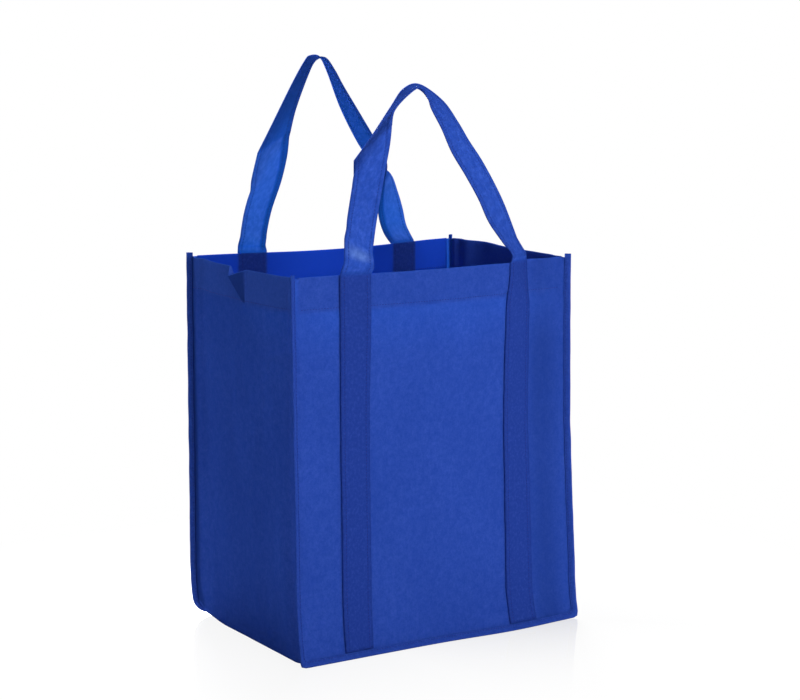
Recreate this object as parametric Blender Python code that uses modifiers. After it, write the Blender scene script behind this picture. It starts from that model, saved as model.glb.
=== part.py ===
# Non-woven shopping tote bag: front and back panels, one gusset strip that makes both sides and
# the base, taped edge bindings, two full-length handle straps and a loose base board.
# Metres, +Z up. The front faces -Y, the floor is z = 0, and the origin is under the base's middle.

import math

import bmesh
import bpy
from mathutils import Vector

# Body of the bag, from seam to seam, and from the floor to the rim
BAG_WIDTH = 0.330
BAG_DEPTH = 0.216
BAG_HEIGHT = 0.381
CORNER_RADIUS = 0.014
FRONT_CORNER_POWER = 8.0

# Cloth, its hems and its seams
CLOTH_THICKNESS = 0.0006
LAYER_GAP = 0.0003
HEM_DEPTH = 0.034
HEM_END_INSET = 0.005
GUSSET_HEM_GAP = 0.0008
SEAM_FLANGE = 0.0065
FLANGE_EDGE_CLEARANCE = 0.0016
BINDING_OVERRUN = 0.003

# Handle straps
STRAP_WIDTH = 0.033
STRAP_THICKNESS = 0.0014
FRONT_STRAP_SPACING = 0.198
BACK_STRAP_SPACING = 0.192
STRAP_FOOT_CLEARANCE = 0.002
FRONT_HANDLE_RISE = 0.175
BACK_HANDLE_RISE = 0.203
RIM_HOLD = 0.25

# Base board
BOARD_THICKNESS = 0.0018
BOARD_CORNER_RADIUS = 0.006
BOARD_END_CLEARANCE = 0.003

# How the soft bag stands: how far from each edge the base starts to rise to its seam, how the
# rims bow forward, how the side gussets belly out, and where the mouth's corners have moved
BASE_EDGE_RISE = 0.014
SAG_FADE_HEIGHT = 0.060
FRONT_RIM_BOW = 0.014
BACK_RIM_BOW = 0.016
BACK_RIM_DIP = 0.0015
RIM_BOW_DROP = 0.200
LEFT_BELLY = 0.007
RIGHT_BELLY = 0.013
RIGHT_BELLY_CENTRE = 0.060
RIGHT_BELLY_SPREAD = 0.040
MOUTH_SHIFT = {
    "front_left": (-0.005, 0.000),
    "front_right": (-0.007, 0.003),
    "back_left": (0.003, 0.004),
    "back_right": (-0.005, 0.002),
}

# The popped pleat in the left gusset's hem: a triangle that stands out from the centre fold
PLEAT_CENTRE = -0.005
PLEAT_HALF_WIDTH = 0.015
PLEAT_OUT = 0.020
PLEAT_DROP = 0.008
PLEAT_APEX_SPREAD = 0.0025
PLEAT_FADE_HEIGHT = 0.060

# Fineness of the shapes
MIDDLE_COLUMNS = 3
GUSSET_COLUMN_SHARE = 0.45
ARC_STEPS = 4
WALL_ROWS = 11
HEM_ROWS = 2
FOLD_STEPS = 3
EDGE_TURN_STEPS = 4
SPAN_STEPS = 4
BOARD_CORNER_STEPS = 4

# Plain colours and roughnesses, to tell the materials apart
PANEL_BLUE = (0.030, 0.070, 0.400)
GUSSET_BLUE = (0.018, 0.040, 0.270)
STRAP_BLUE = (0.040, 0.100, 0.500)
BOARD_BLACK = (0.030, 0.030, 0.035)
CLOTH_ROUGHNESS = 0.85
BOARD_ROUGHNESS = 0.70

# Each handle's loop from its left foot to its right foot: across as a share of half the strap
# spacing, outward from the panel and up as shares of the rise, the direction in which the strap's
# width points, in degrees in plan from outer edge to inner edge, and how far the inner edge runs
# ahead of the outer edge, as a share of the strap's width
FRONT_LOOP = [
    (-1.00, 0.00, 0.00, 0, 0.0),
    (-1.00, 0.03, 0.15, 1, -0.4),
    (-0.98, 0.03, 0.21, 4, -0.3),
    (-0.93, 0.01, 0.31, 3, 0.2),
    (-0.80, -0.04, 0.51, 0, 0.7),
    (-0.75, -0.05, 0.62, -8, 1.1),
    (-0.70, -0.08, 0.71, -76, 1.0),
    (-0.54, -0.12, 0.81, -115, 0.6),
    (-0.30, -0.16, 0.93, -115, 0.0),
    (-0.11, -0.19, 1.00, -111, -0.3),
    (0.06, -0.21, 0.98, -135, -0.2),
    (0.24, -0.22, 0.90, -146, -0.5),
    (0.41, -0.23, 0.78, -153, -0.4),
    (0.54, -0.23, 0.66, -161, -0.2),
    (0.69, -0.21, 0.53, -165, 0.0),
    (0.82, -0.18, 0.39, -166, 0.1),
    (0.89, -0.13, 0.26, -168, 0.3),
    (0.97, -0.03, 0.08, -178, 0.1),
    (1.00, 0.00, 0.00, -180, 0.0),
]
BACK_LOOP = [
    (-1.00, 0.00, 0.00, 0, 0.0),
    (-1.00, -0.01, 0.06, 10, 0.0),
    (-0.97, 0.00, 0.12, 12, 0.2),
    (-0.91, 0.01, 0.21, 8, 0.5),
    (-0.83, 0.01, 0.31, 1, 1.0),
    (-0.77, 0.01, 0.40, -7, 1.3),
    (-0.73, 0.02, 0.48, -48, 1.4),
    (-0.65, 0.04, 0.57, -68, 1.1),
    (-0.53, 0.05, 0.68, -88, 0.8),
    (-0.30, 0.06, 0.89, -101, 0.4),
    (-0.19, 0.05, 0.98, -103, 0.1),
    (-0.09, 0.05, 1.00, -108, 0.1),
    (0.04, 0.04, 0.96, -112, 0.3),
    (0.16, 0.05, 0.88, -104, 0.4),
    (0.37, 0.05, 0.70, -88, 0.2),
    (0.63, 0.05, 0.51, -83, 0.0),
    (0.78, 0.05, 0.42, -102, -0.1),
    (0.85, 0.05, 0.34, -140, 0.0),
    (0.89, 0.06, 0.25, -160, 0.0),
    (0.93, 0.05, 0.16, -173, 0.0),
    (0.97, 0.03, 0.07, -178, 0.0),
    (1.00, 0.00, 0.00, -180, 0.0),
]

# Sizes that follow from those above
HALF_WIDTH = BAG_WIDTH / 2
HALF_DEPTH = BAG_DEPTH / 2
HALF_STRAP = STRAP_WIDTH / 2
LAYER_PITCH = CLOTH_THICKNESS + LAYER_GAP
BINDING_OUTER = 1.5 * LAYER_PITCH + CLOTH_THICKNESS / 2
BINDING_INNER = BINDING_OUTER - CLOTH_THICKNESS
FLANGE_TIP = SEAM_FLANGE - FLANGE_EDGE_CLEARANCE
SEAM_BEND_INSET = LAYER_PITCH / math.sqrt(2)
SEAM_HEIGHT = (SEAM_FLANGE - BINDING_OUTER) / math.sqrt(2) + BINDING_OUTER
HEM_LINE = BAG_HEIGHT - HEM_DEPTH
STRAP_STANDOFF = CLOTH_THICKNESS / 2 + LAYER_GAP + STRAP_THICKNESS / 2


def smooth_step(value):
    """0 below zero, 1 above one, and an even curve between."""
    value = min(1.0, max(0.0, value))
    return value * value * (3 - 2 * value)


def squared_corner(x, depth, z):
    """Draws the rounded bottom corners out, nearly square at the front and not at all at the back."""
    inset = HALF_WIDTH - CORNER_RADIUS
    beyond = abs(x) - inset
    below = SEAM_HEIGHT + CORNER_RADIUS - z
    if beyond <= 0 or below <= 0:
        return x, z
    power = FRONT_CORNER_POWER
    square = math.hypot(beyond, below) / (beyond ** power + below ** power) ** (1 / power)
    stretch = depth + (1 - depth) * square
    return math.copysign(inset + beyond * stretch, x), z + below * (1 - stretch)


def soften(point):
    """Moves a point of the squared-up bag to where the standing bag holds it."""
    x, y, z = point
    x, z = squared_corner(x, min(1.0, max(0.0, y / BAG_DEPTH + 0.5)), z)
    across = min(1.0, max(0.0, x / BAG_WIDTH + 0.5))
    depth = min(1.0, max(0.0, y / BAG_DEPTH + 0.5))
    height = min(1.0, max(0.0, z / BAG_HEIGHT))
    shift = [
        height * (
            (1 - across) * (1 - depth) * MOUTH_SHIFT["front_left"][axis]
            + across * (1 - depth) * MOUTH_SHIFT["front_right"][axis]
            + (1 - across) * depth * MOUTH_SHIFT["back_left"][axis]
            + across * depth * MOUTH_SHIFT["back_right"][axis]
        )
        for axis in (0, 1)
    ]
    rise = smooth_step((z - BAG_HEIGHT + RIM_BOW_DROP) / RIM_BOW_DROP)
    panel_share = (1 - (2 * across - 1) ** 2) ** 2
    side_share = 1 - (2 * depth - 1) ** 2
    bow = rise * panel_share * (FRONT_RIM_BOW * (1 - depth) + BACK_RIM_BOW * depth)
    dip = rise * panel_share * depth * BACK_RIM_DIP
    right_hump = math.exp(-(((y - RIGHT_BELLY_CENTRE) / RIGHT_BELLY_SPREAD) ** 2))
    belly = rise * side_share * (across * RIGHT_BELLY * right_hump - (1 - across) * LEFT_BELLY)
    sag_share = smooth_step((HALF_DEPTH - abs(y)) / BASE_EDGE_RISE)
    sag_fade = 1 - smooth_step((z - SEAM_HEIGHT - CORNER_RADIUS) / SAG_FADE_HEIGHT)
    sag = (SEAM_HEIGHT - CLOTH_THICKNESS / 2) * sag_share * sag_fade
    return Vector((x + shift[0] + belly, y + shift[1] - bow, z - dip - sag))


def wall_levels():
    """Heights of the cloth's rows above the rounded corners, up to the rim's fold."""
    foot = SEAM_HEIGHT + CORNER_RADIUS
    levels = [foot + (HEM_LINE - foot) * row / WALL_ROWS for row in range(WALL_ROWS + 1)]
    top = BAG_HEIGHT - CLOTH_THICKNESS / 2 - LAYER_PITCH / 2
    return levels + [HEM_LINE + (top - HEM_LINE) * row / HEM_ROWS for row in range(1, HEM_ROWS + 1)]


def panel_columns(spacing):
    """Places across a panel, with one at each edge and middle of both straps."""
    outer = spacing / 2 + HALF_STRAP
    inner = spacing / 2 - HALF_STRAP
    margin = (outer + HALF_WIDTH - CORNER_RADIUS) / 2
    between = [inner * column / MIDDLE_COLUMNS for column in range(1, MIDDLE_COLUMNS)]
    right = between + [inner, spacing / 2, outer, margin]
    return [-x for x in reversed(right)] + [0.0] + right


def seam_outline(spacing):
    """The seam's U from the left rim to the right rim, as places and outward directions."""
    centre_x = HALF_WIDTH - CORNER_RADIUS
    centre_z = SEAM_HEIGHT + CORNER_RADIUS
    left = [((-HALF_WIDTH, z), (-1.0, 0.0)) for z in reversed(wall_levels()[1:])]
    for step in range(ARC_STEPS + 1):
        angle = math.pi / 2 * step / ARC_STEPS
        normal = (-math.cos(angle), -math.sin(angle))
        place = (-centre_x + CORNER_RADIUS * normal[0], centre_z + CORNER_RADIUS * normal[1])
        left.append((place, normal))
    hem_start = centre_x - HEM_END_INSET
    places = [-hem_start] + panel_columns(spacing) + [hem_start]
    bottom = [((x, SEAM_HEIGHT), (0.0, -1.0)) for x in places]
    right = [((-x, z), (-nx, nz)) for (x, z), (nx, nz) in reversed(left)]
    return left + bottom + right


def add_mesh_object(name, mesh, colour, roughness, collection):
    """Puts a mesh in the collection as one named sub-part with its own material."""
    material = bpy.data.materials.new(name + "_finish")
    material.use_nodes = True
    shader = material.node_tree.nodes["Principled BSDF"]
    shader.inputs["Base Color"].default_value = (*colour, 1.0)
    shader.inputs["Roughness"].default_value = roughness
    shader.inputs["Metallic"].default_value = 0.0
    mesh.materials.append(material)
    part = bpy.data.objects.new(name, mesh)
    collection.objects.link(part)
    return part


def join_rows(sheet, rows):
    """Skins neighbouring rows of vertices with quads, leaving out places that hold None."""
    for lower, upper in zip(rows, rows[1:]):
        for index in range(len(lower) - 1):
            corners = (lower[index], lower[index + 1], upper[index + 1], upper[index])
            if None not in corners:
                sheet.faces.new(corners)


def finish_sheet(sheet, name, thickness, colour, collection):
    """Turns an open sheet into cloth of the given thickness."""
    bmesh.ops.recalc_face_normals(sheet, faces=sheet.faces)
    mesh = bpy.data.meshes.new(name)
    sheet.to_mesh(mesh)
    sheet.free()
    mesh.shade_smooth()
    part = add_mesh_object(name, mesh, colour, CLOTH_ROUGHNESS, collection)
    thicken = part.modifiers.new("thickness", "SOLIDIFY")
    thicken.thickness = thickness
    thicken.offset = 0.0
    thicken.use_even_offset = True
    return part


def hem_turn(gap):
    """The turned-in hem as steps inward from the wall and heights, from the rim down."""
    pitch = CLOTH_THICKNESS + gap
    radius = pitch / 2
    centre = BAG_HEIGHT - CLOTH_THICKNESS / 2 - radius
    turn = []
    for step in range(1, FOLD_STEPS + 1):
        angle = math.pi * step / FOLD_STEPS
        turn.append((radius - radius * math.cos(angle), centre + radius * math.sin(angle)))
    for row in range(1, HEM_ROWS + 1):
        turn.append((pitch, centre + (HEM_LINE - centre) * row / HEM_ROWS))
    return turn


def panel(name, side, spacing, colour, collection):
    """One large face of the bag: hemmed at the rim, flanged along its sides and its bottom."""
    columns = panel_columns(spacing)
    wall_y = side * HALF_DEPTH
    centre_x = HALF_WIDTH - CORNER_RADIUS
    radius = CORNER_RADIUS - SEAM_BEND_INSET
    ends = []
    for step in range(ARC_STEPS):
        angle = math.pi / 2 * (1 - step / ARC_STEPS)
        level = SEAM_HEIGHT + CORNER_RADIUS - radius * math.sin(angle)
        ends.append((centre_x + radius * math.cos(angle), level))
    ends += [(HALF_WIDTH - SEAM_BEND_INSET, z) for z in wall_levels()]

    sheet = bmesh.new()
    rows = []
    for end, z in ends:
        hem_end = end - HEM_END_INSET
        places = [-end, -hem_end] + columns + [hem_end, end]
        rows.append([sheet.verts.new(soften((x, wall_y, z))) for x in places])
    join_rows(sheet, rows)

    hem_end = HALF_WIDTH - SEAM_BEND_INSET - HEM_END_INSET
    hem_rows = [rows[-1][1:-1]]
    for inward, z in hem_turn(LAYER_GAP):
        places = [-hem_end] + columns + [hem_end]
        hem_rows.append([sheet.verts.new(soften((x, wall_y - side * inward, z))) for x in places])
    join_rows(sheet, hem_rows)

    edge = [row[0] for row in reversed(rows)] + rows[0][1:-1] + [row[-1] for row in rows]
    half_pitch = LAYER_PITCH / 2
    along = (FLANGE_TIP - half_pitch) / math.sqrt(2)
    outward = (FLANGE_TIP + half_pitch) / math.sqrt(2)
    tips = []
    for vert, ((x, z), (nx, nz)) in zip(edge, seam_outline(spacing)):
        tips.append(sheet.verts.new(soften((x + nx * along, wall_y + side * outward, z + nz * along))))
    join_rows(sheet, [edge, tips])
    return finish_sheet(sheet, name, CLOTH_THICKNESS, colour, collection)


def gusset_columns(z, pleated):
    """Places across the gusset strip, closing on the pleat's point at the hem line."""
    if not pleated:
        spread = PLEAT_HALF_WIDTH
    elif z > HEM_LINE:
        spread = PLEAT_APEX_SPREAD + (PLEAT_HALF_WIDTH - PLEAT_APEX_SPREAD) * (z - HEM_LINE) / HEM_DEPTH
    else:
        fade = min(1.0, (HEM_LINE - z) / PLEAT_FADE_HEIGHT)
        spread = PLEAT_APEX_SPREAD + (PLEAT_HALF_WIDTH - PLEAT_APEX_SPREAD) * fade
    bend = HALF_DEPTH - SEAM_BEND_INSET
    hem_end = bend - HEM_END_INSET
    front = [-bend, -hem_end, BASE_EDGE_RISE - HALF_DEPTH, -GUSSET_COLUMN_SHARE * HALF_DEPTH]
    middle = [PLEAT_CENTRE - spread, PLEAT_CENTRE, PLEAT_CENTRE + spread]
    return front + middle + [-y for y in reversed(front)]


def pleat(index, columns, z):
    """How far the left hem's centre stands out and drops at one column."""
    share = (z - HEM_LINE) / HEM_DEPTH
    if index != len(columns) // 2 or share <= 0:
        return 0.0, 0.0
    return PLEAT_OUT * share, PLEAT_DROP * share


def gusset_strip(name, spacing, colour, collection):
    """Left side, base and right side in one strip, with a turned-in hem at both ends."""
    outline = seam_outline(spacing)
    sheet = bmesh.new()
    rows = []
    front_tips = []
    back_tips = []
    along = (FLANGE_TIP + LAYER_PITCH / 2) / math.sqrt(2)
    outward = HALF_DEPTH + (FLANGE_TIP - LAYER_PITCH / 2) / math.sqrt(2)
    for (x, z), (nx, nz) in outline:
        left_wall = nx == -1.0
        columns = gusset_columns(z, left_wall)
        row = []
        for index, y in enumerate(columns):
            out, drop = pleat(index, columns, z) if left_wall else (0.0, 0.0)
            row.append(sheet.verts.new(soften((x + nx * out, y, z - drop))))
        rows.append(row)
        front_tips.append(sheet.verts.new(soften((x + nx * along, -outward, z + nz * along))))
        back_tips.append(sheet.verts.new(soften((x + nx * along, outward, z + nz * along))))
    join_rows(sheet, rows)
    join_rows(sheet, [[row[0] for row in rows], front_tips])
    join_rows(sheet, [[row[-1] for row in rows], back_tips])

    for wall_x, inward_x, top_row in ((-HALF_WIDTH, 1, rows[0]), (HALF_WIDTH, -1, rows[-1])):
        hem_rows = [top_row[1:-1]]
        for inward, z in hem_turn(GUSSET_HEM_GAP):
            columns = gusset_columns(z, inward_x > 0)
            row = []
            for index, y in enumerate(columns):
                out, drop = pleat(index, columns, z) if inward_x > 0 else (0.0, 0.0)
                place = (wall_x + inward_x * (inward - out), y, z - drop)
                row.append(sheet.verts.new(soften(place)) if 0 < index < len(columns) - 1 else None)
            hem_rows.append([vert for vert in row if vert is not None])
        join_rows(sheet, hem_rows)
    return finish_sheet(sheet, name, CLOTH_THICKNESS, colour, collection)


def binding_profile():
    """The folded tape's section, as distances along the flange and across it."""
    turn = SEAM_FLANGE - BINDING_OUTER
    outer = [(0.0, BINDING_OUTER)]
    inner = [(0.0, BINDING_INNER)]
    for step in range(EDGE_TURN_STEPS + 1):
        angle = math.pi / 2 - math.pi * step / EDGE_TURN_STEPS
        outer.append((turn + BINDING_OUTER * math.cos(angle), BINDING_OUTER * math.sin(angle)))
        inner.append((turn + BINDING_INNER * math.cos(angle), BINDING_INNER * math.sin(angle)))
    outer.append((0.0, -BINDING_OUTER))
    inner.append((0.0, -BINDING_INNER))
    return outer + list(reversed(inner))


def binding(name, side, spacing, colour, collection):
    """The tape folded over one panel's seam flange, from rim to rim around the bottom."""
    outline = seam_outline(spacing)
    top = BAG_HEIGHT + BINDING_OVERRUN
    (first_x, _), first_normal = outline[0]
    (last_x, _), last_normal = outline[-1]
    outline = [((first_x, top), first_normal)] + outline + [((last_x, top), last_normal)]
    body = bmesh.new()
    rings = []
    for (x, z), (nx, nz) in outline:
        ring = []
        for along, across in binding_profile():
            in_plane = (along - across) / math.sqrt(2)
            outward = (along + across) / math.sqrt(2)
            place = (x + nx * in_plane, side * (HALF_DEPTH + outward), z + nz * in_plane)
            ring.append(body.verts.new(soften(place)))
        rings.append(ring)
    join_rows(body, [ring + ring[:1] for ring in rings])
    body.faces.new(rings[0])
    body.faces.new(rings[-1])
    bmesh.ops.recalc_face_normals(body, faces=body.faces)
    mesh = bpy.data.meshes.new(name)
    body.to_mesh(mesh)
    body.free()
    return add_mesh_object(name, mesh, colour, CLOTH_ROUGHNESS, collection)


def through(before, start, end, after, share):
    """A smooth curve from start to end that heads for its neighbours."""
    return 0.5 * (
        2 * start
        + (end - before) * share
        + (2 * before - 5 * start + 4 * end - after) * share ** 2
        + (3 * start - before - 3 * end + after) * share ** 3
    )


def rim_turn(foot, reach):
    """How far the bowed rim turns a strap in plan where the strap leaves it, in degrees."""
    along = soften(foot + Vector((reach, 0, 0))) - soften(foot - Vector((reach, 0, 0)))
    return math.degrees(math.atan2(along.y, along.x))


def loop_stations(loop, side, spacing, rise):
    """The free loop's middle line, width direction and skew, from the left rim to the right rim."""
    wall_y = side * (HALF_DEPTH + STRAP_STANDOFF)
    left_foot = Vector((-spacing / 2, wall_y, BAG_HEIGHT))
    right_foot = Vector((spacing / 2, wall_y, BAG_HEIGHT))
    left_move = soften(left_foot) - left_foot
    right_move = soften(right_foot) - right_foot
    left_turn = rim_turn(left_foot, HALF_STRAP)
    right_turn = rim_turn(right_foot, HALF_STRAP)
    stations = []
    for across, out, up, heading, lead in loop:
        place = Vector((across * spacing / 2, wall_y + side * out * rise, BAG_HEIGHT + up * rise))
        place += left_move.lerp(right_move, (across + 1) / 2)
        hold = max(0.0, 1 - up / RIM_HOLD)
        turn = left_turn if across < 0 else right_turn
        stations.append((*place, heading + hold * turn, lead))
    padded = [stations[0]] + stations + [stations[-1]]
    samples = []
    for window in zip(padded, padded[1:], padded[2:], padded[3:]):
        for step in range(SPAN_STEPS):
            samples.append([through(*values, step / SPAN_STEPS) for values in zip(*window)])
    return samples + [stations[-1]]


def handle(name, side, loop, spacing, rise, colour, collection):
    """A strap sewn flat up one panel, over as a free loop, and down the panel again."""
    wall_y = side * (HALF_DEPTH + STRAP_STANDOFF)
    foot = SEAM_HEIGHT + STRAP_FOOT_CLEARANCE
    levels = [foot] + [z for z in wall_levels()[:-1] if z > foot] + [BAG_HEIGHT]
    places = (spacing / 2 + HALF_STRAP, spacing / 2, spacing / 2 - HALF_STRAP)
    left_rows = [[soften((-x, wall_y, z)) for x in places] for z in levels]
    right_rows = [[soften((x, wall_y, z)) for x in places] for z in reversed(levels)]

    samples = loop_stations(loop, side, spacing, rise)
    middles = [Vector(sample[:3]) for sample in samples]
    loop_rows = []
    for index, middle in list(enumerate(middles))[1:-1]:
        tangent = (middles[index + 1] - middles[index - 1]).normalized()
        heading = math.radians(samples[index][3])
        width = Vector((math.cos(heading), math.sin(heading), 0.0))
        width = (width - tangent * width.dot(tangent)).normalized()
        reach = (width + tangent * samples[index][4]) * HALF_STRAP
        loop_rows.append([middle - reach, middle, middle + reach])

    sheet = bmesh.new()
    rows = [[sheet.verts.new(place) for place in row] for row in left_rows + loop_rows + right_rows]
    join_rows(sheet, rows)
    return finish_sheet(sheet, name, STRAP_THICKNESS, colour, collection)


def base_board(name, colour, collection):
    """The loose stiffener that keeps the base flat."""
    width = BAG_WIDTH - 2 * (CORNER_RADIUS + BOARD_END_CLEARANCE)
    depth = BAG_DEPTH - 2 * BASE_EDGE_RISE
    lift = CLOTH_THICKNESS + LAYER_GAP + BOARD_THICKNESS / 2
    body = bmesh.new()
    bmesh.ops.create_cube(body, size=1.0)
    bmesh.ops.scale(body, vec=(width, depth, BOARD_THICKNESS), verts=body.verts)
    upright = [edge for edge in body.edges if abs(edge.verts[0].co.z - edge.verts[1].co.z) > 0]
    bmesh.ops.bevel(
        body,
        geom=upright,
        offset=BOARD_CORNER_RADIUS,
        segments=BOARD_CORNER_STEPS,
        profile=0.5,
        affect="EDGES",
    )
    mesh = bpy.data.meshes.new(name)
    body.to_mesh(mesh)
    body.free()
    part = add_mesh_object(name, mesh, colour, BOARD_ROUGHNESS, collection)
    part.location = (0.0, 0.0, lift)
    return part


for old in list(bpy.data.objects):
    bpy.data.objects.remove(old)
bag = bpy.data.collections.new("shopping_tote_bag")
bpy.context.scene.collection.children.link(bag)

panel("front_panel", -1, FRONT_STRAP_SPACING, PANEL_BLUE, bag)
panel("back_panel", 1, BACK_STRAP_SPACING, PANEL_BLUE, bag)
gusset_strip("gusset_strip", FRONT_STRAP_SPACING, GUSSET_BLUE, bag)
binding("front_binding", -1, FRONT_STRAP_SPACING, GUSSET_BLUE, bag)
binding("back_binding", 1, BACK_STRAP_SPACING, GUSSET_BLUE, bag)
handle("front_handle", -1, FRONT_LOOP, FRONT_STRAP_SPACING, FRONT_HANDLE_RISE, STRAP_BLUE, bag)
handle("back_handle", 1, BACK_LOOP, BACK_STRAP_SPACING, BACK_HANDLE_RISE, STRAP_BLUE, bag)
base_board("base_board", BOARD_BLACK, bag)
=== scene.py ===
import math

import bpy
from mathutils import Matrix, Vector, noise


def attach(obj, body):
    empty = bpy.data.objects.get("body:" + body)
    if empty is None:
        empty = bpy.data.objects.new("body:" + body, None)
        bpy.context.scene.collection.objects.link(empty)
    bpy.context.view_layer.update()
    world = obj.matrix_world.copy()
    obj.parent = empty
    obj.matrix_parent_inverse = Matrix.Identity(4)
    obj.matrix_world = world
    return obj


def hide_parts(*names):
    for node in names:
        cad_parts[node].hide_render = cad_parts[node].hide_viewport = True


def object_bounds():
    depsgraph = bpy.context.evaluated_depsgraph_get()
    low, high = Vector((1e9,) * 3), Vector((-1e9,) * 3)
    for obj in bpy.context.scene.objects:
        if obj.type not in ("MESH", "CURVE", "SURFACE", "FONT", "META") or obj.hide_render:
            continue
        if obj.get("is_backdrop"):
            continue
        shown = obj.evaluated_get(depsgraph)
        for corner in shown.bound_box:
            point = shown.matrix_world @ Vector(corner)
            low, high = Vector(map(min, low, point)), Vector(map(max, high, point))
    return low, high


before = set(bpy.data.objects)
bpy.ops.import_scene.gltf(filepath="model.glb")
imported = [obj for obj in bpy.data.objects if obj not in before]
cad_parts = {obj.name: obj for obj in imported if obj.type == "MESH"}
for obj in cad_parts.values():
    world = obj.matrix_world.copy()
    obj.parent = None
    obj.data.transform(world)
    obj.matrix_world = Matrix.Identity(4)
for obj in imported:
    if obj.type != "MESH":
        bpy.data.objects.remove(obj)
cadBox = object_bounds()
print("solids loaded:", ", ".join(sorted(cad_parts)))

# Sizes of the cut and sewn bag in metres, the same as the solids have
bag = {
    "width": 0.330,
    "depth": 0.216,
    "height": 0.381,
    "cornerRadius": 0.014,
    "frontCornerPower": 8.0,
    "cloth": 0.0006,
    "layerGap": 0.0003,
    "hemDepth": 0.034,
    "hemEndInset": 0.005,
    "gussetHemGap": 0.0008,
    "flange": 0.0065,
    "flangeClearance": 0.0016,
    "tapeOverrun": 0.003,
    "strapWidth": 0.033,
    "strapThickness": 0.0014,
    "frontSpacing": 0.198,
    "backSpacing": 0.192,
    "strapFoot": 0.002,
    "frontRise": 0.175,
    "backRise": 0.203,
    "rimHold": 0.25,
}

# How the soft bag stands: bows of the rims, bellies of the sides, corners of the mouth
stance = {
    "baseRise": 0.014,
    "sagFade": 0.060,
    "frontBow": 0.014,
    "backBow": 0.016,
    "backDip": 0.0015,
    "bowDrop": 0.200,
    "leftBelly": 0.007,
    "rightBelly": 0.013,
    "rightBellyAt": 0.060,
    "rightBellySpread": 0.040,
    "frontLeft": (-0.005, 0.000),
    "frontRight": (-0.007, 0.003),
    "backLeft": (0.003, 0.004),
    "backRight": (-0.005, 0.002),
    "upStretch": 1.0085,
    "leftToe": 0.003,
    "backHeel": 0.0022,
    "backHeelLift": 0.0022,
    "frontSwell": 0.0055,
    "frontSwellAt": 0.085,
    "frontSwellSpread": 0.060,
    "toeHeight": 0.060,
    "footHeight": 0.045,
    "panelFrom": 0.070,
    "sideFrom": 0.130,
    "wallFade": 0.020,
    "edgeFrom": 0.020,
    "edgeFade": 0.145,
    "edgeToBack": 0.3,
    "calmFrom": 0.004,
    "calmFade": 0.030,
    "rightEdge": [
        (0.000, 0.0035), (0.020, 0.0010), (0.045, 0.0000), (0.125, -0.0025),
        (0.210, -0.0050), (0.320, -0.0038), (0.381, -0.0025),
    ],
    "strapTwist": 0.0054,
    "strapTwistFrom": 0.335,
    "strapTwistFade": 0.040,
}

# The fold that has popped out of the left side's hem
pleat = {
    "at": -0.007,
    "apexAt": -0.020,
    "halfWidth": 0.019,
    "out": 0.011,
    "drop": 0.007,
    "apex": 0.0025,
    "fade": 0.060,
}

halfWidth = bag["width"] / 2
halfDepth = bag["depth"] / 2
halfStrap = bag["strapWidth"] / 2
pitch = bag["cloth"] + bag["layerGap"]
tapeOuter = 1.5 * pitch + bag["cloth"] / 2
tapeInner = tapeOuter - bag["cloth"]
flangeTip = bag["flange"] - bag["flangeClearance"]
seamInset = pitch / math.sqrt(2)
seamHeight = (bag["flange"] - tapeOuter) / math.sqrt(2) + tapeOuter
hemLine = bag["height"] - bag["hemDepth"]
strapStandoff = bag["cloth"] / 2 + bag["layerGap"] + bag["strapThickness"] / 2


def smoothStep(value):
    value = min(1.0, max(0.0, value))
    return value * value * (3 - 2 * value)


def bump(value, centre, spread):
    return math.exp(-(((value - centre) / spread) ** 2))


labels = {-1: "front", 1: "back"}


def footAt(side):
    # how far a handle's feet stand from the middle of their panel
    return bag[labels[side] + "Spacing"] / 2


def readOff(table, value):
    # a straight-line reading between the table's rows
    for (first, low), (second, high) in zip(table, table[1:]):
        if value <= second:
            return low + (high - low) * max(0.0, value - first) / (second - first)
    return table[-1][1]


# Small wrinkles on top of the stance, in metres, and how often each kind repeats in a metre
wrinkle = {
    "panelSwell": 0.0015,
    "hemPucker": 0.00055,
    "strapPull": 0.00045,
    "seamPucker": 0.00050,
    "rightWaves": 0.0016,
    "rightWavesAt": 0.137,
    "gussetFolds": 0.0034,
    "gussetEdge": 0.0036,
    "footDents": 0.0012,
    "seamWobble": 0.00035,
    "seamCalm": 0.012,
}
repeats = {
    "swell": (13, 6),
    "fineSwell": (34, 13),
    "hemPucker": (150, 40),
    "strapPull": (30, 75),
    "seamPucker": (70, 70),
    "rightWaves": 190,
    "folds": (26, 3.5),
    "fineFolds": (55, 7),
    "footDents": (45, 60),
    "seamWobble": (55, 9),
}


def cloudAt(kind, a, b, seed):
    # smooth noise of about -1 to 1, the same each run
    return noise.noise(Vector((a * repeats[kind][0], b * repeats[kind][1], seed)))


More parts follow.
